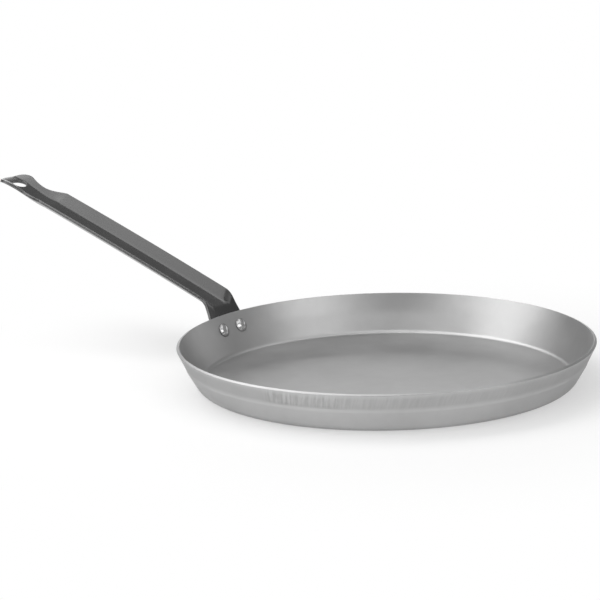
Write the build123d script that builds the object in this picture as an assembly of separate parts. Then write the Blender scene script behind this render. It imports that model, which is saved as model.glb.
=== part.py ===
from build123d import *
import os
from math import asin, cos, degrees, hypot, radians, sin, tan

# Crepe pan of sheet steel with a riveted strip handle. Millimetres and degrees, +Z up.
# The origin is the centre of the base's underside, and the handle points along +X.

# Pan
rim_radius = 120.0
rim_height = 23.5
sheet_thickness = 2.0
upper_lean = 26.0
lower_lean = 30.0
floor_corner_radius = 7.7
inner_corner_radius = 3.5
rim_edge_break = 0.25

# Draw line round the wall, below which the wall stands proud
draw_line_height = 13.4
draw_line_width = 1.5
draw_line_step = 0.3
draw_line_softness = 2.0

# Rivets
rivet_drop = 8.8
rivet_spacing = 16.0
shank_radius = 2.4
shank_clearance = 0.05
head_radius = 4.15
head_height = 1.7
head_edge = 0.4
tail_radius = 3.7
tail_height = 1.3
tail_edge = 0.3
seat_depth = 0.1

# Handle's neck, which lies on the outside of the wall
neck_widening = 2.6
strip_thickness = 1.8
neck_below_rivets = 7.0
neck_corner_radius = 5.0
bend_rise = 5.4
bend_inner_radius = 4.0
twist_length = 9.0
trimming = 1.2

# Handle's grip, a trough that is open upwards
grip_slope = 20.45
grip_length = 183.8
grip_bow_radius = 4100.0
grip_width = 24.6
trough_floor_width = 11.0
trough_corner_radius = 5.0
flank_angle = 36.0

# Handle's eye, with a waist behind it
eye_radius = 10.9
eye_arc_angle = 108.0
hanging_hole_radius = 4.5
hanging_hole_setback = 12.4
waist_width = 17.6
waist_setback = 14.0
flare_setback = 30.5
flare_angle = 13.0

# How far the trough's floor rises over the line of the grip, and the angle of its flanks there
waist_lift = 0.4
waist_flank_angle = 34.0
hole_lift = 1.2
hole_flank_angle = 27.0
tip_lift = -0.6

# How far a cut runs past what it cuts, and how near a point on a surface is to it
overrun = 20.0
on_surface = 0.02


def into_pan(lean):
    """Unit vector square to a wall that leans outwards, towards the inside, as (radius, height)."""
    return Vector(-cos(radians(lean)), sin(radians(lean)))


def upper_wall(height):
    """Point on the outside of the upper wall, or of its cone carried on above the rim."""
    return Vector(rim_radius - (rim_height - height) * tan(radians(upper_lean)), height)


def lower_wall(height):
    """Point on the outside of the lower wall, or of its cone carried on to the floor."""
    proud = upper_wall(draw_line_height).X + draw_line_step
    return Vector(proud - (draw_line_height - height) * tan(radians(lower_lean)), height)


def revolved(*lines):
    """Solid of revolution about Z of a closed outline drawn as (radius, height)."""
    return revolve(Plane.XZ * make_face(lines), Axis.Z)


# The wall above the draw line is thinner by the step there.
upper_thickness = (sheet_thickness / cos(radians(lower_lean)) - draw_line_step) * cos(radians(upper_lean))
ledge = [
    lower_wall(draw_line_height - draw_line_width / 2),
    upper_wall(draw_line_height + draw_line_width / 2),
]
rim_outer = upper_wall(rim_height)
rim_inner = rim_outer + into_pan(upper_lean) * upper_thickness
inner_knee = lower_wall(draw_line_height) + into_pan(lower_lean) * sheet_thickness


def floor_corner(radius, depth):
    """Rounded corner between floor and wall, at a depth under the outside of the sheet."""
    height = depth + radius
    centre = Vector(lower_wall(height).X - height / cos(radians(lower_lean)), height)
    middle_lean = (90 + lower_lean) / 2
    return ThreePointArc(
        centre - into_pan(90) * radius,
        centre - into_pan(middle_lean) * radius,
        centre - into_pan(lower_lean) * radius,
    )


def make_pan_envelope():
    """Everything inside the outer surface of the pan, up to the rim."""
    corner = floor_corner(floor_corner_radius, 0)
    wall = FilletPolyline(corner @ 1, *ledge, rim_outer, radius=draw_line_softness)
    lid = Polyline(rim_outer, (0, rim_height), (0, 0), corner @ 0)
    return revolved(corner, wall, lid)


def make_pan_blank():
    """The pressed sheet, before the rivet holes."""
    outer_corner = floor_corner(floor_corner_radius, 0)
    inner_corner = floor_corner(inner_corner_radius, sheet_thickness)
    softness = [draw_line_softness, draw_line_softness, rim_edge_break, rim_edge_break, draw_line_softness]
    wall = FilletPolyline(
        outer_corner @ 1, *ledge, rim_outer, rim_inner, inner_knee, inner_corner @ 1, radius=softness
    )
    floor = Polyline(inner_corner @ 0, (0, sheet_thickness), (0, 0), outer_corner @ 0)
    return revolved(outer_corner, wall, inner_corner, floor)


def in_handle_plane(point):
    """A point drawn as (radius, height), in the middle plane of the handle."""
    return Vector(point.X, 0, point.Y)


def at_rivets(shape):
    """Copies of a shape at both rivets. It is drawn with Z into the pan from the wall's outside."""
    foot = upper_wall(rim_height - rivet_drop * cos(radians(upper_lean)))
    middle = Plane(in_handle_plane(foot), x_dir=(0, 1, 0), z_dir=in_handle_plane(into_pan(upper_lean)))
    turn = degrees(asin(rivet_spacing / 2 / foot.X))
    return [Rot(0, 0, side * turn) * (middle * shape) for side in (1, -1)]


def make_rivet():
    """One rivet: peened tail on the handle, shank, and domed head inside the pan."""
    tail_seat = seat_depth - strip_thickness
    head_seat = upper_thickness - seat_depth
    tail_top = -strip_thickness - tail_height
    head_top = upper_thickness + head_height
    tail_corner = Vector(tail_radius, -strip_thickness - tail_edge)
    head_corner = Vector(head_radius, upper_thickness + head_edge)
    body = Polyline(
        tail_corner,
        (tail_radius, tail_seat),
        (shank_radius, tail_seat),
        (shank_radius, head_seat),
        (head_radius, head_seat),
        head_corner,
    )
    head_dome = dome(head_corner, head_top)
    tail_dome = dome(tail_corner, tail_top)
    axis = Line(head_dome @ 1, tail_dome @ 1)
    return revolved(body, head_dome, axis, tail_dome)


def dome(corner, top):
    """Arc from a corner drawn as (radius, height) to the axis, level at its top."""
    rise = top - corner.Y
    sphere_radius = (corner.X**2 + rise**2) / (2 * abs(rise))
    side = sphere_radius if rise > 0 else -sphere_radius
    middle = asin(corner.X / sphere_radius) / 2
    centre_height = top - side
    return ThreePointArc(
        corner,
        (sphere_radius * sin(middle), centre_height + side * cos(middle)),
        (0, top),
    )


# The flat neck is wider than the grip. The strip is bent a little too wide, and its sides are trimmed.
strip_width = grip_width + neck_widening
bent_width = strip_width + 2 * trimming
rough_width = bent_width + 2 * trimming

# Distances from the tip
flare_tip_setback = eye_radius + flare_setback
waist_tip_setback = eye_radius + waist_setback


def trough_line(depth, half_reach, angle):
    """Line across the trough at a depth under its upper surface, with Y up from the trough's floor."""
    slope = radians(angle)
    half_floor = trough_floor_width / 2 + depth * tan(slope / 2)
    flank_top = (half_reach - half_floor) * tan(slope) - depth
    return FilletPolyline(
        (-half_reach, flank_top),
        (-half_floor, -depth),
        (half_floor, -depth),
        (half_reach, flank_top),
        radius=trough_corner_radius + depth,
    )


def trough_section(angle):
    """Section across the strip before its sides are trimmed, where its flanks have an angle."""
    upper = trough_line(0, rough_width / 2, angle)
    lower = trough_line(strip_thickness, rough_width / 2, angle)
    return make_face([upper, lower, Line(upper @ 0, lower @ 0), Line(upper @ 1, lower @ 1)])


def along(slope):
    """Unit vector along the grip where it rises at a slope, as (radius, height)."""
    return Vector(cos(radians(slope)), sin(radians(slope)))


def across(slope):
    """Unit vector up out of the trough's floor there."""
    return Vector(-sin(radians(slope)), cos(radians(slope)))


# The trough's floor meets the neck's inner face at the bend and follows a long bow.
bend = upper_wall(rim_height + bend_rise)
bow_centre = bend - across(grip_slope) * grip_bow_radius
flank_height = (grip_width - trough_floor_width) / 2 * tan(radians(flank_angle))
flank_bend = bend + along(90 - upper_lean) * (flank_height / sin(radians(90 - upper_lean - grip_slope)))
root_slope = grip_slope + degrees(overrun / grip_bow_radius)


def across_plane(point, slope):
    """Plane across the strip at a point where it rises at a slope, with Y out of its upper surface."""
    return Plane(in_handle_plane(point), x_dir=(0, 1, 0), z_dir=in_handle_plane(along(slope)))


def floor_plane(slope):
    """Plane across the grip where its bow has a slope, with its origin on the trough's floor."""
    return across_plane(bow_centre + across(slope) * grip_bow_radius, slope)


def slope_at(setback):
    """Slope of the bow at a distance from the tip."""
    return grip_slope - degrees((grip_length - setback) / grip_bow_radius)


def along_grip(section, start_slope, end_slope):
    """A section drawn across the grip, carried along the bow from one slope to another."""
    bow_axis = Axis(in_handle_plane(bow_centre), (0, 1, 0))
    return revolve(floor_plane(start_slope) * section, bow_axis, start_slope - end_slope)


def lifted(setback, lift, angle):
    """The trough's section at a distance from the tip, where its floor rises over the bow."""
    return floor_plane(slope_at(setback)) * (Pos(0, lift) * trough_section(angle))


def make_trough():
    """The grip before its sides are trimmed. It grows shallow over the eye and drops at the tip."""
    grip = along_grip(trough_section(flank_angle), root_slope, slope_at(flare_tip_setback))
    end = loft(
        [
            lifted(flare_tip_setback, 0, flank_angle),
            lifted(waist_tip_setback, waist_lift, waist_flank_angle),
            lifted(hanging_hole_setback, hole_lift, hole_flank_angle),
            lifted(-trimming, tip_lift, hole_flank_angle),
        ]
    )
    return grip + end


def make_space_over_trough():
    floor = trough_line(0, rough_width / 2 + overrun, flank_angle)
    section = make_face([floor, Line(floor @ 0, floor @ 1)])
    return along_grip(section, root_slope, slope_at(flare_tip_setback))


def pan_side(offset):
    """Everything inside the upper wall's outer cone, moved out by an offset and carried on above the rim."""
    out = Vector(offset / cos(radians(upper_lean)), 0)
    low = upper_wall(-overrun) + out
    high = upper_wall(rim_height + 2 * overrun) + out
    return revolved(Polyline((0, low.Y), low, high, (0, high.Y), close=True))


def make_neck():
    """The flat end of the strip, curved to the wall, from its rounded foot to far above the bend."""
    outwards = in_handle_plane(-into_pan(upper_lean))
    plane = Plane(in_handle_plane(rim_outer), x_dir=(0, 1, 0), z_dir=outwards)
    below_rim = rivet_drop + neck_below_rivets
    foot = Pos(0, -below_rim / 2) * Rectangle(strip_width, below_rim)
    foot = fillet(foot.vertices().group_by(Axis.Y)[0], neck_corner_radius)
    outline = foot + Pos(0, overrun / 2) * Rectangle(rough_width, overrun)
    return extrude(plane * outline, overrun, both=True) & (pan_side(strip_thickness) - pan_side(0))


def beside(half_width, height, lean):
    """Section of what is beside the strip, whose side leans and has its upper corner at a half width."""
    out = Vector(sin(radians(lean)), -cos(radians(lean))) * (overrun / 2)
    corner = Vector(half_width, height)
    outside = Vector(overrun, 0)
    return make_face(
        Polyline(corner - out, corner + out, corner + out + outside, corner - out + outside, close=True)
    )


def make_side_cut():
    """What is trimmed off one side of the bent strip, so that its edge is square to the sheet."""
    half_neck = strip_width / 2
    half_grip = grip_width / 2
    middle_slope = (90 - upper_lean + grip_slope) / 2
    twist_end = grip_slope - degrees((flank_bend - bend).dot(along(grip_slope)) / grip_bow_radius)
    twist_end = twist_end - degrees(twist_length / grip_bow_radius)
    section = beside(half_grip, flank_height, flank_angle)
    twist = loft(
        [
            across_plane(rim_outer, 90 - upper_lean) * beside(half_neck, 0, 0),
            across_plane(flank_bend, middle_slope) * beside(half_grip, 0, flank_angle / 2),
            floor_plane(twist_end) * section,
        ]
    )
    return twist + along_grip(section, twist_end, slope_at(waist_tip_setback))


def bend_edges(strip, offset):
    """Edges across the strip at the bend, on the cone at an offset from the upper wall's."""

    def from_cone(point):
        return abs(hypot(point.X, point.Y) - upper_wall(point.Z).X - offset / cos(radians(upper_lean)))

    return [
        edge
        for edge in strip.edges()
        if edge.center().Z > rim_height
        and abs(edge.center().Y) < grip_width / 2
        and max(from_cone(edge @ share) for share in (0, 0.5, 1)) < on_surface
    ]


def make_bent_strip():
    """Neck and trough joined in a rounded bend, with trimmed sides and a long uncut tip."""
    trough = make_trough()
    neck = make_neck() - make_space_over_trough() - trough
    strip = neck + (trough - pan_side(0))
    strip = strip & extrude(Plane.XZ * Circle(rim_radius + 2 * grip_length), bent_width / 2, both=True)
    strip = fillet(bend_edges(strip, 0), bend_inner_radius + strip_thickness)
    strip = fillet(bend_edges(strip, strip_thickness), bend_inner_radius)
    side_cut = make_side_cut()
    return strip - side_cut - mirror(side_cut, Plane.XZ)


def grip_plane(setback):
    """Plane on the trough's floor at a distance from the tip, with X along the grip."""
    middle = floor_plane(slope_at(setback))
    return Plane(middle.origin, x_dir=middle.z_dir, z_dir=middle.y_dir)


def make_eye_cut():
    """What is cut off the strip round the waist and the eye."""
    half_waist = waist_width / 2
    half_grip = grip_width / 2
    turn = radians(eye_arc_angle)
    flare = Vector(-cos(radians(flare_angle)), sin(radians(flare_angle)))
    eye_end = Vector(cos(turn), sin(turn)) * eye_radius
    flare_start = Vector(-flare_setback, half_grip)
    flare_end = flare_start + flare * (overrun / cos(radians(flare_angle)))
    eye = ThreePointArc((eye_radius, 0), Vector(cos(turn / 2), sin(turn / 2)) * eye_radius, eye_end)
    waist = Spline(
        eye_end,
        (-waist_setback, half_waist),
        flare_start,
        tangents=[(-sin(turn), cos(turn)), (-1, 0), flare],
    )
    outside = half_grip + overrun
    beyond = eye_radius + 2 * overrun
    rest = Polyline(flare_start, flare_end, (flare_end.X, outside), (beyond, outside), (beyond, 0), eye @ 0)
    half = make_face([eye, waist, rest])
    return extrude(grip_plane(eye_radius) * (half + mirror(half, Plane.XZ)), overrun, both=True)


def make_handle(pan_envelope, rivet_holes):
    """The whole strip. Its neck is coined where it crosses the draw line, so that it lies on the wall."""
    hanging_hole = grip_plane(hanging_hole_setback) * Cylinder(hanging_hole_radius, 2 * overrun)
    return make_bent_strip() - make_eye_cut() - hanging_hole - pan_envelope - rivet_holes


rivet_holes = at_rivets(Cylinder(shank_radius + shank_clearance, 2 * overrun))
pan_body = make_pan_blank() - rivet_holes
handle = make_handle(make_pan_envelope(), rivet_holes)
rivet_left, rivet_right = [rivet - pan_body - handle for rivet in at_rivets(make_rivet())]

parts = {
    "pan_body": pan_body,
    "handle": handle,
    "rivet_left": rivet_left,
    "rivet_right": rivet_right,
}
os.makedirs("parts", exist_ok=True)
for name, part in parts.items():
    export_step(part, f"parts/{name}.step")
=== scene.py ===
from math import ceil, cos, hypot, pi, radians, sin, tan

import bmesh
import bpy
import numpy as np
from mathutils import Matrix, Vector


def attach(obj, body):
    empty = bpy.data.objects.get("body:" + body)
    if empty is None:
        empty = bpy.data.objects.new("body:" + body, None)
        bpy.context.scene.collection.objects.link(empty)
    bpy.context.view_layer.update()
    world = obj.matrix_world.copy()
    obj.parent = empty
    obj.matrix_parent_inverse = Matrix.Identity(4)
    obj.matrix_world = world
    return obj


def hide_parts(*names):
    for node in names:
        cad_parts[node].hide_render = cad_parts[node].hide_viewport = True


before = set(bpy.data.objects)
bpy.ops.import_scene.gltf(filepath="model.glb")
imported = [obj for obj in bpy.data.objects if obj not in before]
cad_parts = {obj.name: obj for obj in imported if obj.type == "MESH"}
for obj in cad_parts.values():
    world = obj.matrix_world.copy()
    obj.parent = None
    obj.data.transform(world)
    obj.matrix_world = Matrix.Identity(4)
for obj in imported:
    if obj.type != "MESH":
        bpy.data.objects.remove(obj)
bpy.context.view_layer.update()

# Crepe pan of sheet steel with a riveted strip handle. Metres, +Z up, handle along +X.

# Pan
rim_radius = 0.120
rim_height = 0.0235
sheet_thickness = 0.002
upper_lean = radians(26)
lower_lean = radians(30)
floor_corner_radius = 0.0077
inner_corner_radius = 0.0035
rim_edge_break = 0.00025
draw_line_height = 0.0134
draw_line_width = 0.0015
draw_line_step = 0.0003
draw_line_softness = 0.002
inner_knee_softness = 0.06

# Rivets
rivet_drop = 0.0088
rivet_spacing = 0.016
shank_radius = 0.0024
head_radius = 0.00415
head_height = 0.0017
head_edge = 0.0004
tail_radius = 0.0037
tail_height = 0.0013
tail_edge = 0.0003
rivet_edge_break = 0.0003

# Handle
strip_width = 0.0272
strip_thickness = 0.0018
strip_edge_break = 0.0003
neck_below_rivets = 0.007
neck_corner_radius = 0.005
bend_rise = 0.0054
bend_inner_radius = 0.004
grip_slope = radians(20.45)
grip_length = 0.1838
grip_bow_radius = 4.1
grip_width = 0.0246
grip_start = 0.016
trough_floor_width = 0.011
trough_corner_radius = 0.005
flank_angle = radians(36)
eye_radius = 0.0109
eye_arc_angle = radians(108)
hanging_hole_radius = 0.0045
hanging_hole_setback = 0.0124
waist_width = 0.0176
waist_setback = 0.014
flare_setback = 0.0305
flare_angle = radians(13)
waist_lift = 0.0004
waist_flank_angle = radians(34)
hole_lift = 0.0012
hole_flank_angle = radians(27)
tip_lift = -0.0006
tip_trimming = 0.0012

# Draw marks on the outside of the upper wall, with azimuths from the side away from the handle
marks_lean = 0.25
marks_stretch = 0.10
marks_begin = (radians(-89), radians(-85))
marks_thin = (radians(-69), radians(-60))
marks_end = (radians(-52), radians(-8))
outside_depth = 0.0006

# Shading
noise_range = (0.3, 0.7)
# Share of a rivet head's radius where its painted shade and rougher rim begin
dull_and_shaded_ring_start = 0.72

# How finely the meshes follow the shapes
lathe_segments = 360
rivet_segments = 96
cells_over_dome = 12
arc_step = radians(5)
line_step = 0.004
guard = 0.0004
cells_across = 40
cells_round_foot = 9
cells_up_neck = 12
cells_over_bend = 12
cells_after_bend = 6
cells_along_grip = 64
cells_along_flare = 14
cells_round_eye = 72
cells_to_eye_edge = 11
cells_round_edge = 3
solver_steps = 8
probe = 1e-4


# Outlines

def upper_wall(height):
    """Point on the outside of the upper wall, as (radius, height)."""
    return np.array([rim_radius - (rim_height - height) * tan(upper_lean), height])


def lower_wall(height):
    """Point on the outside of the lower wall, as (radius, height)."""
    proud = upper_wall(draw_line_height)[0] + draw_line_step
    return np.array([proud - (draw_line_height - height) * tan(lower_lean), height])


def into_pan(lean):
    return np.array([-cos(lean), sin(lean)])


def unit(vector):
    return vector / np.linalg.norm(vector, axis=-1, keepdims=True)


def rounded(corners, radii):
    """Points of an open outline whose inner corners are rounded, with a guard point beside each arc."""
    corners = [np.array(c, float) for c in corners]
    outline = [corners[0]]
    for before, corner, after, radius in zip(corners, corners[1:], corners[2:], radii):
        if not radius:
            outline.append(corner)
            continue
        back = unit(before - corner)
        on = unit(after - corner)
        turn = pi - np.arccos(np.clip(back @ on, -1, 1))
        reach = radius * tan(turn / 2)
        centre = corner + unit(back + on) * (radius / cos(turn / 2))
        start = corner + back * reach
        end = corner + on * reach
        steps = max(2, ceil(turn / arc_step))
        outline.append(start + back * min(guard, np.linalg.norm(before - start) / 3))
        for k in range(steps + 1):
            share = k / steps
            spoke = (start - centre) * sin((1 - share) * turn) + (end - centre) * sin(share * turn)
            outline.append(centre + unit(spoke) * radius)
        outline.append(end + on * min(guard, np.linalg.norm(after - end) / 3))
    outline.append(corners[-1])
    filled = [outline[0]]
    for point in outline[1:]:
        steps = max(1, ceil(np.linalg.norm(point - filled[-1]) / line_step))
        start = filled[-1]
        filled += [start + (point - start) * (k + 1) / steps for k in range(steps)]
    return filled


def lathed(outline, segments):
    """Points and faces of an outline that starts and ends on the axis, turned about Z."""
    points = [(0, 0, outline[0][1])]
    for radius, height in outline[1:-1]:
        for s in range(segments):
            turn = 2 * pi * s / segments
            points.append((radius * cos(turn), radius * sin(turn), height))
    points.append((0, 0, outline[-1][1]))
    last = len(points) - 1
    faces = []
    for s in range(segments):
        t = (s + 1) % segments
        faces.append((0, 1 + t, 1 + s))
        for ring in range(len(outline) - 3):
            low = 1 + ring * segments
            high = low + segments
            faces.append((low + s, low + t, high + t, high + s))
        faces.append((last - segments + s, last - segments + t, last))
    return points, faces


# Materials

class Nodes:
    """Node tree of a material or of the world, with short calls that add and link nodes."""

    def __init__(self, owner):
        owner.use_nodes = True
        self.owner = owner
        self.tree = owner.node_tree
        self.tree.nodes.clear()

    def add(self, kind, inputs=None, **settings):
        node = self.tree.nodes.new("ShaderNode" + kind)
        for key, value in settings.items():
            setattr(node, key, value)
        for key, value in (inputs or {}).items():
            if isinstance(value, bpy.types.NodeSocket):
                self.tree.links.new(value, node.inputs[key])
            else:
                node.inputs[key].default_value = value
        return node

    def math(self, operation, *values):
        return self.add("Math", dict(enumerate(values)), operation=operation).outputs[0]

    def distance(self, x, y):
        return self.math("SQRT", self.math("ADD", self.math("MULTIPLY", x, x), self.math("MULTIPLY", y, y)))

    def ramp(self, value, low, high, to_low=0.0, to_high=1.0):
        inputs = {"Value": value, "From Min": low, "From Max": high, "To Min": to_low, "To Max": to_high}
        return self.add("MapRange", inputs, interpolation_type="SMOOTHSTEP").outputs[0]

    def noise(self, vector, scale, detail=3.0, roughness=0.5):
        inputs = {"Vector": vector, "Scale": scale, "Detail": detail, "Roughness": roughness}
        return self.add("TexNoise", inputs).outputs["Fac"]

    def spread(self, noise, low, high):
        """Noise stretched over a range of values."""
        return self.ramp(noise, *noise_range, low, high)

    def grey(self, value):
        return self.add("CombineColor", {0: value, 1: value, 2: value}).outputs[0]

    def finish(self, shader):
        self.add("OutputMaterial", {"Surface": shader.outputs[0]})
        return self.owner


def bare_steel():
    """Satin pressed steel, with draw marks and a painted shade in the band between the rim and the draw line.
    """
    n = Nodes(bpy.data.materials.new("bare_steel"))
    place = n.add("TexCoord").outputs["Object"]
    x, y, z = n.add("SeparateXYZ", {0: place}).outputs[:]
    azimuth = n.math("ARCTAN2", n.math("MULTIPLY", y, -1.0), n.math("MULTIPLY", x, -1.0))
    radius = n.distance(x, y)
    cloud = n.noise(place, 28.0, 2.0)
    blotch = n.noise(place, 140.0, 4.0)
    grain = n.noise(place, 5200.0, 2.0)
    shade = n.math("ADD", n.spread(cloud, 0.52, 0.56), n.spread(blotch, -0.008, 0.008))
    roughness = n.math("ADD", n.spread(cloud, 0.39, 0.43), n.spread(grain, -0.02, 0.02))
    # Draw marks: short upright lines that lean a little, densest on one stretch of the wall.
    round_wall = n.math("ADD", n.math("MULTIPLY", azimuth, rim_radius), n.math("MULTIPLY", z, -marks_lean))
    up_wall = n.math("MULTIPLY", z, marks_stretch)
    marks = n.noise(n.add("CombineXYZ", {0: round_wall, 1: 0.0, 2: up_wall}).outputs[0], 620.0, 3.0, 0.6)
    strong = n.math("MULTIPLY", n.ramp(azimuth, *marks_begin), n.ramp(azimuth, *marks_thin, 1.0, 0.35))
    fading = n.ramp(azimuth, *marks_end, 1.0, 0.25)
    skin = n.math("ADD", n.math("MULTIPLY", z, tan(upper_lean)), upper_wall(0)[0] - outside_depth)
    outside = n.math("GREATER_THAN", radius, skin)
    band = n.math(
        "MULTIPLY",
        n.ramp(z, draw_line_height + draw_line_width / 2, draw_line_height + 2 * draw_line_width),
        n.ramp(z, rim_height - 2 * draw_line_width, rim_height - rim_edge_break, 1.0, 0.2),
    )
    marked = n.math("MULTIPLY", n.math("MULTIPLY", strong, fading), n.math("MULTIPLY", outside, band))
    relief = n.math("MULTIPLY", marks, marked)
    streaks = n.math("MULTIPLY", n.ramp(marks, 0.35, 0.65, -0.06, 0.06), marked)
    # Painted shade: the outside of the band above the draw line is darkened in colour, standing in for the
    # darker reflection it shows.
    painted_band_shade = n.math("MULTIPLY", n.math("MULTIPLY", outside, band), -0.07)
    shade = n.math("ADD", n.math("ADD", shade, streaks), painted_band_shade)
    deep = n.add("Bump", {"Height": relief, "Distance": 0.0008, "Strength": 0.8})
    fine = n.add("Bump", {"Height": grain, "Distance": 0.00001, "Strength": 0.5, "Normal": deep.outputs[0]})
    return n.finish(
        n.add(
            "BsdfPrincipled",
            {
                "Base Color": n.grey(shade),
                "Metallic": 1.0,
                "Roughness": roughness,
                "Specular Tint": (0.6, 0.6, 0.6, 1),
                "Normal": fine.outputs[0],
            },
        )
    )


def dark_paint():
    """Smooth dark paint, thin and speckled along the sheared edges."""
    n = Nodes(bpy.data.materials.new("dark_paint"))
    place = n.add("TexCoord").outputs["Object"]
    cloud = n.noise(place, 45.0, 3.0)
    peel = n.noise(place, 900.0, 2.0)
    speckle = n.noise(place, 1400.0, 4.0, 0.65)
    edge = n.add("Attribute", attribute_name="edge").outputs["Fac"]
    worn = n.math("MULTIPLY", edge, n.ramp(speckle, 0.42, 0.62))
    shade = n.math("ADD", n.spread(cloud, 0.030, 0.038), n.math("MULTIPLY", worn, 0.05))
    roughness = n.math("ADD", n.spread(cloud, 0.20, 0.24), n.math("MULTIPLY", worn, 0.08))
    bump = n.add("Bump", {"Height": peel, "Distance": 0.000012, "Strength": 0.4})
    return n.finish(
        n.add(
            "BsdfPrincipled",
            {"Base Color": n.grey(shade), "Roughness": roughness, "IOR": 1.8, "Normal": bump.outputs[0]},
        )
    )


def rivet_steel():
    """Bright steel with hammer marks, with painted shade that darkens it towards the rim where the head meets
    the sheet.
    """
    n = Nodes(bpy.data.materials.new("rivet_steel"))
    place = n.add("TexCoord").outputs["Object"]
    cloud = n.noise(place, 500.0, 3.0)
    scratch = n.noise(place, 3000.0, 2.0)
    edge = n.add("Attribute", attribute_name="edge").outputs["Fac"]
    # Painted shade: the colour darkens towards the head's rim, where it meets the sheet; the rim is also
    # rougher.
    shade = n.math("SUBTRACT", n.spread(cloud, 0.66, 0.78), n.math("MULTIPLY", edge, 0.40))
    roughness = n.math("ADD", n.spread(scratch, 0.16, 0.24), n.math("MULTIPLY", edge, 0.15))
    bump = n.add("Bump", {"Height": cloud, "Distance": 0.00008, "Strength": 0.4})
    return n.finish(
        n.add(
            "BsdfPrincipled",
            {"Base Color": n.grey(shade), "Metallic": 1.0, "Roughness": roughness, "Normal": bump.outputs[0]},
        )
    )


# Pieces

def add_piece(name, points, faces, node, slot, material, edge=None):
    """A closed, smooth piece that stands for a CAD node."""
    mesh = bpy.data.meshes.new(name)
    mesh.from_pydata([tuple(map(float, p)) for p in points], [], faces)
    skin = bmesh.new()
    skin.from_mesh(mesh)
    bmesh.ops.recalc_face_normals(skin, faces=skin.faces)
    skin.to_mesh(mesh)
    skin.free()
    mesh.shade_smooth()
    mesh.materials.append(material)
    if edge is not None:
        mesh.attributes.new("edge", "FLOAT", "POINT").data.foreach_set("value", np.array(edge, np.float32))
    piece = bpy.data.objects.new(name, mesh)
    bpy.context.scene.collection.objects.link(piece)
    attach(piece, "root")
    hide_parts(node)
    return piece


upper_thickness = (sheet_thickness / cos(lower_lean) - draw_line_step) * cos(upper_lean)
rim_outer = upper_wall(rim_height)
pan_outline = rounded(
    [
        (0, 0),
        lower_wall(0),
        lower_wall(draw_line_height - draw_line_width / 2),
        upper_wall(draw_line_height + draw_line_width / 2),
        rim_outer,
        rim_outer + into_pan(upper_lean) * upper_thickness,
        lower_wall(draw_line_height) + into_pan(lower_lean) * sheet_thickness,
        lower_wall(sheet_thickness) - np.array([sheet_thickness / cos(lower_lean), 0]),
        (0, sheet_thickness),
    ],
    [
        floor_corner_radius,
        draw_line_softness,
        draw_line_softness,
        rim_edge_break,
        rim_edge_break,
        inner_knee_softness,
        inner_corner_radius,
    ],
)
add_piece("pan_sheet", *lathed(pan_outline, lathe_segments), "pan_body", "bare_steel", bare_steel())


def rivet_outline():
    """Outline of a rivet from its tail's top to its head's top, with height into the pan."""

    def dome(radius, low, top):
        rise = top - low
        sphere = (radius**2 + rise**2) / (2 * abs(rise))
        side = 1 if rise > 0 else -1
        widest = np.arcsin(radius / sphere)
        turns = np.linspace(0, widest, cells_over_dome)
        return [np.array([sphere * sin(t), top - side * sphere * (1 - cos(t))]) for t in turns]

    tail_top = -strip_thickness - tail_height
    head_top = upper_thickness + head_height
    tail_dome = dome(tail_radius, -strip_thickness - tail_edge, tail_top)
    head_dome = dome(head_radius, upper_thickness + head_edge, head_top)
    sides = rounded(
        [
            tail_dome[-2],
            tail_dome[-1],
            (tail_radius, -strip_thickness),
            (shank_radius, -strip_thickness),
            (shank_radius, upper_thickness),
            (head_radius, upper_thickness),
            head_dome[-1],
            head_dome[-2],
        ],
        [rivet_edge_break / 2, 0, 0, 0, 0, rivet_edge_break / 2],
    )
    return tail_dome[:-2] + sides + head_dome[-3::-1]


foot = upper_wall(rim_height - rivet_drop * cos(upper_lean))
turn = np.arcsin(rivet_spacing / 2 / foot[0])
rivet_material = rivet_steel()
for side, name in ((1, "rivet_left"), (-1, "rivet_right")):
    points, faces = lathed(rivet_outline(), rivet_segments)
    place = (
        Matrix.Rotation(side * turn, 4, "Z")
        @ Matrix.Translation((foot[0], 0, foot[1]))
        @ Matrix.Rotation(upper_lean - pi / 2, 4, "Y")
    )
    rings = np.array([hypot(p[0], p[1]) for p in points])
    # Mask of the painted shade and rougher rim: 0 near the axis, rising to 1 at the rim of each head
    edge = np.clip((rings / head_radius - dull_and_shaded_ring_start) / (1 - dull_and_shaded_ring_start), 0, 1)
    placed = [place @ Vector(p) for p in points]
    add_piece(name + "_steel", placed, faces, name, "rivet_steel", rivet_material, edge)


# Handle

def in_strip_axes(slope, height):
    """Point at a distance from the bow's centre, as x and z."""
    return bow_centre[0] - np.sin(slope) * height, bow_centre[1] + np.cos(slope) * height


bend = upper_wall(rim_height + bend_rise)
bow_centre = bend - np.array([-sin(grip_slope), cos(grip_slope)]) * grip_bow_radius
bend_turn = pi / 2 - upper_lean - grip_slope
ridge_radius = bend_inner_radius + strip_thickness
foot_rise = -(rivet_drop + neck_below_rivets)
start_setback = grip_length - grip_start
flare_tip_setback = eye_radius + flare_setback
waist_tip_setback = eye_radius + waist_setback


def corner_reach(y, flank):
    """How far a point across the trough is into the rounded corner of its floor."""
    start = trough_floor_width / 2 - trough_corner_radius * np.tan(flank / 2)
    return np.clip(np.abs(y) - start, 0, trough_corner_radius * np.sin(flank))


def trough_height(y, flank):
    """Height of the trough's upper surface over its floor."""
    reach = corner_reach(y, flank)
    arc = trough_corner_radius - np.sqrt(trough_corner_radius**2 - reach**2)
    on_flank = reach >= trough_corner_radius * np.sin(flank)
    return np.where(on_flank, (np.abs(y) - trough_floor_width / 2) * np.tan(flank), arc)


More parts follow.
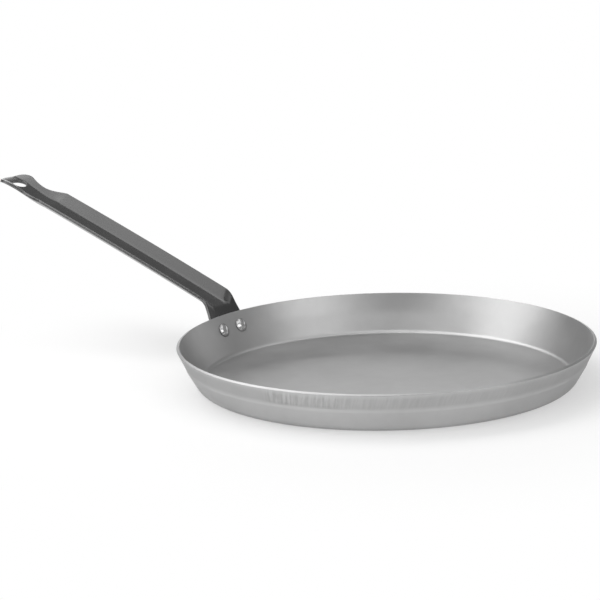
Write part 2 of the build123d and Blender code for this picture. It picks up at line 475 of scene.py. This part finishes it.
# Sections across the eye, as (setback, lift, flank angle)
eye_sections = [
    (-tip_trimming, tip_lift, hole_flank_angle),
    (hanging_hole_setback, hole_lift, hole_flank_angle),
    (waist_tip_setback, waist_lift, waist_flank_angle),
    (flare_tip_setback, 0, flank_angle),
]


def height_over_bow(setback, y):
    """Height of the grip's upper surface, which follows a smooth curve through the eye's sections."""
    setback = np.minimum(setback, flare_tip_setback)
    height = 0
    for station, lift, flank in eye_sections:
        share = 1
        for other, _, _ in eye_sections:
            if other != station:
                share = share * (setback - other) / (station - other)
        height = height + share * (lift + trough_height(y, flank))
    return height


def grip_point(setback, y):
    """Point on the upper surface of the grip, at a distance from the tip and from the middle plane."""
    slope = grip_slope - (grip_length - setback) / grip_bow_radius
    x, z = in_strip_axes(slope, grip_bow_radius + height_over_bow(setback, y))
    return np.stack([x, y + 0 * x, z], -1)


def neck_point(rise, y):
    """Point on the wall's outer cone, at a distance above the rim up the wall."""
    radius = rim_radius + rise * sin(upper_lean)
    return np.stack([np.sqrt(radius**2 - y**2), y + 0 * radius, rim_height + rise * cos(upper_lean)], -1)


def corner(y):
    """Where neck and grip would meet sharply: rise on the neck, setback on the grip, and the reach of
    the fillet between them."""
    rise = bend_rise / cos(upper_lean) + 0 * y
    for _ in range(solver_steps):
        point = neck_point(rise, y)
        out = point[..., 0] - bow_centre[0]
        up = point[..., 2] - bow_centre[1]
        miss = np.hypot(out, up) - grip_bow_radius - trough_height(y, flank_angle)
        rise = rise - miss / sin(bend_turn)
    setback = grip_length - (grip_slope - np.arctan2(-out, up)) * grip_bow_radius
    tilt = np.arcsin(corner_reach(y, flank_angle) / trough_corner_radius)
    fold = np.arccos(np.cos(tilt) * cos(bend_turn))
    lean = np.arctan(np.tan(tilt) / sin(bend_turn))
    return rise, setback, ridge_radius * np.tan(fold / 2) / np.cos(lean)


def strip_point(p, y):
    """Upper surface of the strip. p runs from -1 at the foot, to 0 and 1 at the ends of the bend,
    to 2 at the start of the regular grip, and then on in metres to the tip."""
    rise, setback, reach = corner(y)
    neck_end = neck_point(rise - reach, y)
    sharp = neck_point(rise, y)
    grip_begin = grip_point(setback - reach, y)
    t = np.clip(p, 0, 1)[..., None]
    weight = cos(bend_turn / 2)
    over_bend = (neck_end * (1 - t) ** 2 + sharp * 2 * weight * t * (1 - t) + grip_begin * t**2) / (
        (1 - t) ** 2 + 2 * weight * t * (1 - t) + t**2
    )
    on_neck = neck_point(foot_rise + (p + 1) * (rise - reach - foot_rise), y)
    begun = setback - reach
    after = np.where(p < 2, begun + (start_setback - begun) * (p - 1), start_setback - (p - 2))
    on_grip = grip_point(after, y)
    p = p[..., None]
    return np.where(p < 0, on_neck, np.where(p < 1, over_bend, on_grip))


def strip_normal(p, y):
    """Unit normal of the upper surface, up out of the trough and into the pan."""
    along = strip_point(p + probe, y) - strip_point(p - probe, y)
    side = strip_point(p, y + probe) - strip_point(p, y - probe)
    return unit(np.cross(along, side))


def hermite(start, start_way, end, end_way, t):
    """Points of a curve between two points, leaving and arriving along unit vectors."""
    start, start_way, end, end_way = map(np.array, (start, start_way, end, end_way))
    pull = np.linalg.norm(end - start)
    t = np.array(t)[:, None]
    return (
        start * (1 + 2 * t) * (1 - t) ** 2
        + end * t**2 * (3 - 2 * t)
        + start_way * pull * t * (1 - t) ** 2
        - end_way * pull * t**2 * (1 - t)
    )


def to_p(setback):
    return 2 + start_setback - setback


inset = strip_edge_break
half_neck = strip_width / 2 - inset
half_grip = grip_width / 2 - inset
side_corner, _, side_reach = map(float, corner(np.array(grip_width / 2)))
side_neck_end = side_corner - side_reach
foot_radius = neck_corner_radius - inset

def half_width(rise):
    """Half the strip's width at a distance above the rim, where the neck narrows into the grip."""
    share = np.clip(rise / side_corner, 0, 1)
    return half_grip + (half_neck - half_grip) * (1 - share) ** 2


# Rows of the regular grid, as (p, half width)
rows = []
neck_length = side_neck_end - foot_rise
for k in range(cells_round_foot):
    angle = pi / 2 * k / cells_round_foot
    height = inset + foot_radius * (1 - cos(angle))
    rows.append((height / neck_length - 1, half_neck - foot_radius * (1 - sin(angle))))
for k in range(cells_up_neck):
    height = neck_corner_radius + (neck_length - neck_corner_radius) * k / cells_up_neck
    rows.append((height / neck_length - 1, half_width(height + foot_rise)))
for k in range(cells_over_bend):
    rows.append((k / cells_over_bend, half_width(side_neck_end + side_reach * 2 * k / cells_over_bend)))
for k in range(cells_after_bend):
    rows.append((1 + k / cells_after_bend, half_grip))
for k in range(cells_along_grip):
    setback = start_setback + (flare_tip_setback - start_setback) * k / cells_along_grip
    rows.append((to_p(setback), half_grip))
flare_start = (-flare_setback, grip_width / 2)
flare_way = (cos(flare_angle), -sin(flare_angle))
waist = (-waist_setback, waist_width / 2)
eye_end = (eye_radius * cos(eye_arc_angle), eye_radius * sin(eye_arc_angle))
eye_way = (sin(eye_arc_angle), -cos(eye_arc_angle))
shares = np.linspace(0, 1, cells_along_flare + 1)
for x, y in hermite(flare_start, flare_way, waist, (1, 0), shares):
    rows.append((to_p(eye_radius - x), y - inset))

across = np.linspace(-1, 1, cells_across + 1)
p_grid = np.array([[p] * (cells_across + 1) for p, _ in rows])
y_grid = np.array([half * across for _, half in rows])

# Outline round the eye, from one side of the waist over the tip to the other
eye_cells = cells_round_eye // 2
neck_cells = eye_cells // 3
shares = np.linspace(0, 1, neck_cells + 1)[1:]
side_curve = hermite(waist, (1, 0), eye_end, eye_way, shares)
way = unit(side_curve - hermite(waist, (1, 0), eye_end, eye_way, shares - probe))
side_curve = side_curve + np.stack([way[:, 1], -way[:, 0]], -1) * inset
arc_turns = np.linspace(eye_arc_angle, 0, eye_cells - neck_cells + 1)[1:]
arc_curve = (eye_radius - inset) * np.stack([np.cos(arc_turns), np.sin(arc_turns)], -1)
half_eye = np.concatenate([side_curve, arc_curve])
eye_outline = np.concatenate([half_eye, (half_eye * [1, -1])[-2::-1]])

waist_line = np.stack([np.full(cells_across + 1, -waist_setback), y_grid[-1]], -1)
outer_ring = np.concatenate([waist_line, eye_outline])
hole_centre = np.array([eye_radius - hanging_hole_setback, 0])
inner_ring = hole_centre + unit(outer_ring - hole_centre) * (hanging_hole_radius + inset)
rings = [inner_ring + (outer_ring - inner_ring) * k / cells_to_eye_edge for k in range(cells_to_eye_edge)]

# All points of the upper surface: the regular grid, the eye's outline, then the rings from the hole outwards
row_count = len(rows)
columns = cells_across + 1
round_hole = np.concatenate([eye_outline] + rings)
all_p = np.concatenate([p_grid.ravel(), to_p(eye_radius - round_hole[:, 0])])
all_y = np.concatenate([y_grid.ravel(), round_hole[:, 1]])
upper = strip_point(all_p, all_y)
normal = strip_normal(all_p, all_y)

grid = np.arange(row_count * columns).reshape(row_count, columns)
eye_start = row_count * columns
eye_index = np.arange(eye_start, eye_start + len(eye_outline))
ring_start = eye_start + len(eye_outline)
ring_size = len(outer_ring)
ring_index = [np.arange(ring_size) + ring_start + k * ring_size for k in range(cells_to_eye_edge)]
ring_index.append(np.concatenate([grid[-1], eye_index]))

quads = [
    (grid[r, c], grid[r, c + 1], grid[r + 1, c + 1], grid[r + 1, c])
    for r in range(row_count - 1)
    for c in range(columns - 1)
]
for low, high in zip(ring_index, ring_index[1:]):
    quads += [(low[i - 1], low[i], high[i], high[i - 1]) for i in range(ring_size)]

# The neck lies on the wall, which stands proud below the draw line.
extra_lean = tan(lower_lean) - tan(upper_lean)
proud = (draw_line_step - (draw_line_height - upper[:, 2]) * extra_lean) * cos(upper_lean)
proud = np.where(upper[:, 2] < draw_line_height, np.clip(proud, 0, None), 0)
top = upper - normal * proud[:, None]
bottom = upper - normal * strip_thickness

points = [top, bottom]
count = len(top)
faces = quads + [tuple(i + count for i in quad) for quad in quads]
edge = [np.zeros(2 * count)]
total = 2 * count
outer_loop = np.concatenate([grid[:, 0], eye_index[::-1], grid[::-1, -1], grid[0, -2:0:-1]])
for loop in (outer_loop, ring_index[0]):
    along = unit(np.roll(upper[loop], -1, 0) - np.roll(upper[loop], 1, 0))
    outwards = unit(np.cross(along, normal[loop]))
    bands = []
    for k in range(1, cells_round_edge + 1):
        angle = pi / 2 * k / cells_round_edge
        bands.append((inset * sin(angle), inset * (1 - cos(angle))))
    bands += [(out, strip_thickness - down) for out, down in reversed(bands)]
    previous = loop
    for out, down in bands:
        points.append(upper[loop] + outwards * out - normal[loop] * down)
        current = np.arange(len(loop)) + total
        total += len(loop)
        edge.append(np.ones(len(loop)))
        faces += [(previous[i - 1], previous[i], current[i], current[i - 1]) for i in range(len(loop))]
        previous = current
    closing = loop + count
    faces += [(previous[i - 1], previous[i], closing[i], closing[i - 1]) for i in range(len(loop))]
    edge[0][loop] = 0.5
    edge[0][closing] = 0.5

add_piece(
    "handle_strip",
    np.concatenate(points),
    [tuple(map(int, face)) for face in faces],
    "handle",
    "dark_paint",
    dark_paint(),
    np.concatenate(edge),
)


# Studio

camera_target = Vector((0.0455, 0.0210, 0.0462))
camera_azimuth = radians(128.68)
camera_elevation = radians(13.293)
camera_roll = radians(-1.451)
camera_distance = 1.722
camera_lens = 180
camera_sensor = 36
softbox_distance = 1.5
floor_reach = 4.0
floor_brightness = 0.6
shadow_reach = (0.15, 0.28)
sky_brightness = 0.25


def seen_directly(n):
    """1 for camera, glossy and transmission rays, 0 for the rays that light other surfaces."""
    path = n.add("LightPath").outputs
    mirrored = n.math("MAXIMUM", path["Is Glossy Ray"], path["Is Transmission Ray"])
    return n.math("MAXIMUM", path["Is Camera Ray"], mirrored)


def pale_floor():
    n = Nodes(bpy.data.materials.new("pale_floor"))
    x, y, _ = n.add("SeparateXYZ", {0: n.add("TexCoord").outputs["Object"]}).outputs[:]
    distance = n.distance(x, y)
    seen = seen_directly(n)
    matt = n.add("BsdfDiffuse", {"Color": (floor_brightness,) * 3 + (1,)})
    lift = n.add("Emission", {"Strength": n.math("MULTIPLY", seen, 1 - floor_brightness)})
    near = n.add("AddShader", {0: matt.outputs[0], 1: lift.outputs[0]})
    white = n.add("Emission", {"Strength": 1.0})
    away = n.math("MULTIPLY", seen, n.ramp(distance, *shadow_reach))
    return n.finish(n.add("MixShader", {0: away, 1: near.outputs[0], 2: white.outputs[0]}))


floor_mesh = bpy.data.meshes.new("floor")
floor_corners = [(x * floor_reach, y * floor_reach, 0) for x, y in ((-1, -1), (1, -1), (1, 1), (-1, 1))]
floor_mesh.from_pydata(floor_corners, [], [(0, 1, 2, 3)])
floor_mesh.materials.append(pale_floor())
floor = bpy.data.objects.new("floor", floor_mesh)
bpy.context.scene.collection.objects.link(floor)

world = bpy.data.worlds.new("studio")
bpy.context.scene.world = world
sky = Nodes(world)
background = sky.add("Background", {"Color": (1, 1, 1, 1), "Strength": sky_brightness})
sky.add("OutputWorld", {"Surface": background.outputs[0]})


def direction(azimuth, elevation):
    return Vector((cos(elevation) * cos(azimuth), cos(elevation) * sin(azimuth), sin(elevation)))


def softbox(name, azimuth, elevation, width, height, brightness):
    """Soft light that faces the pan, at an azimuth and an elevation in degrees. At a brightness of 1
    it looks as light as the white floor."""
    lamp = bpy.data.lights.new(name, "AREA")
    lamp.shape = "RECTANGLE"
    lamp.size = width
    lamp.size_y = height
    lamp.energy = brightness * pi * width * height
    light = bpy.data.objects.new(name, lamp)
    way = direction(radians(azimuth), radians(elevation))
    light.location = way * softbox_distance
    light.rotation_euler = way.to_track_quat("Z", "Y").to_euler()
    light.visible_camera = False
    bpy.context.scene.collection.objects.link(light)


softbox("left_light", 9, 48, 1.7, 0.6, 2.1)
softbox("right_light", -111, 60, 1.7, 0.5, 0.7)
softbox("top_light", -6, 68, 1.6, 0.6, 1.5)
softbox("overhead_light", 129, 70, 1.6, 0.5, 1.5)
softbox("left_low_light", 60, 16, 2.2, 0.8, 2.0)
softbox("right_low_light", 174, 30, 1.1, 0.5, 2.1)
softbox("back_light", -51, 11, 1.1, 0.5, 1.85)
softbox("far_right_light", -95, 12, 0.9, 0.4, 0.6)

# Camera
camera_data = bpy.data.cameras.new("camera")
camera_data.lens = camera_lens
camera_data.sensor_width = camera_sensor
camera = bpy.data.objects.new("camera", camera_data)
outlook = direction(camera_azimuth, camera_elevation)
camera.location = camera_target + outlook * camera_distance
turned = outlook.to_track_quat("Z", "Y").to_matrix() @ Matrix.Rotation(camera_roll, 3, "Z")
camera.rotation_euler = turned.to_euler()
bpy.context.scene.collection.objects.link(camera)
bpy.context.scene.camera = camera
bpy.context.scene.view_settings.view_transform = "Standard"
